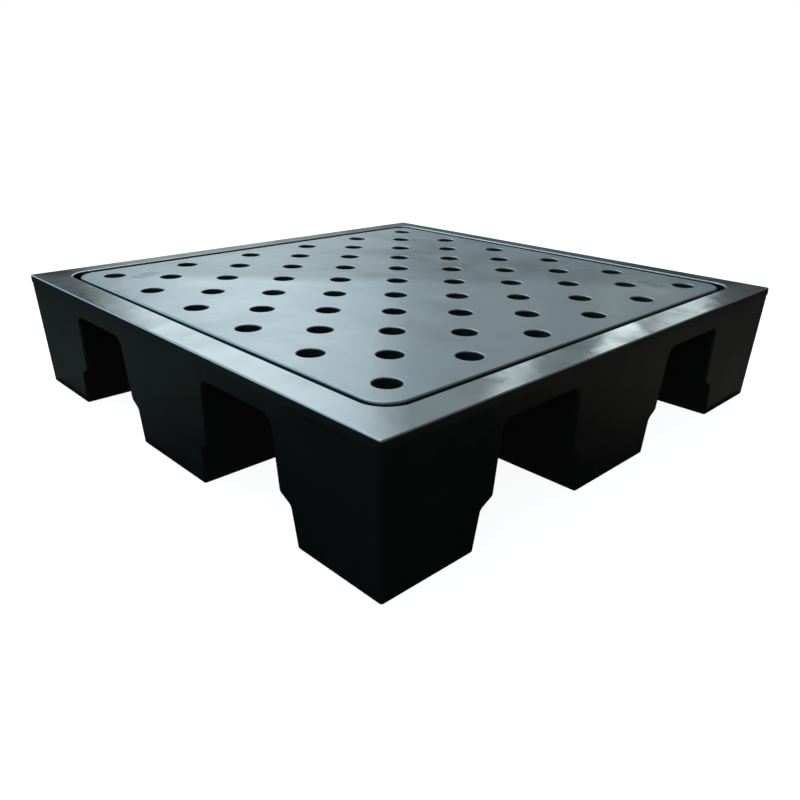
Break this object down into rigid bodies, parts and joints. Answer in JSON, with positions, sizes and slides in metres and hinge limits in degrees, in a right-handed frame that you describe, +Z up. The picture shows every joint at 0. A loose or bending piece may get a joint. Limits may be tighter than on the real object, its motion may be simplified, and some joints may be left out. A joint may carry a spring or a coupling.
{
  "type": "spill containment pallet",
  "caption": "Low square four-way sump pallet on feet, with a loose flush perforated deck that lifts out to reach the wells.",
  "frame": {"origin": "bottom centre of the pallet, on the floor", "axes": "+Z up; X and Y along the two fork directions, which are alike"},
  "size_m": [1.29, 1.29, 0.284],
  "materials": {
    "sump_plastic": "black moulded polyethylene, semi-gloss on the rim, satin on the walls",
    "deck_plastic": "black moulded polyethylene, satin, faintly mottled"
  },
  "bodies": {
    "sump": {"sump_mid": "sump_plastic", "sump_n": "sump_plastic", "sump_s": "sump_plastic", "sump_e": "sump_plastic", "sump_w": "sump_plastic", "sump_ne": "sump_plastic", "sump_nw": "sump_plastic", "sump_se": "sump_plastic", "sump_sw": "sump_plastic"},
    "deck": {"deck": "deck_plastic"}
  },
  "joints": [
    {"name": "deck_lift", "type": "slide", "parent": "sump", "child": "deck", "axis": [0, 0, 1], "range_m": [0, 0.3]}
  ]
}
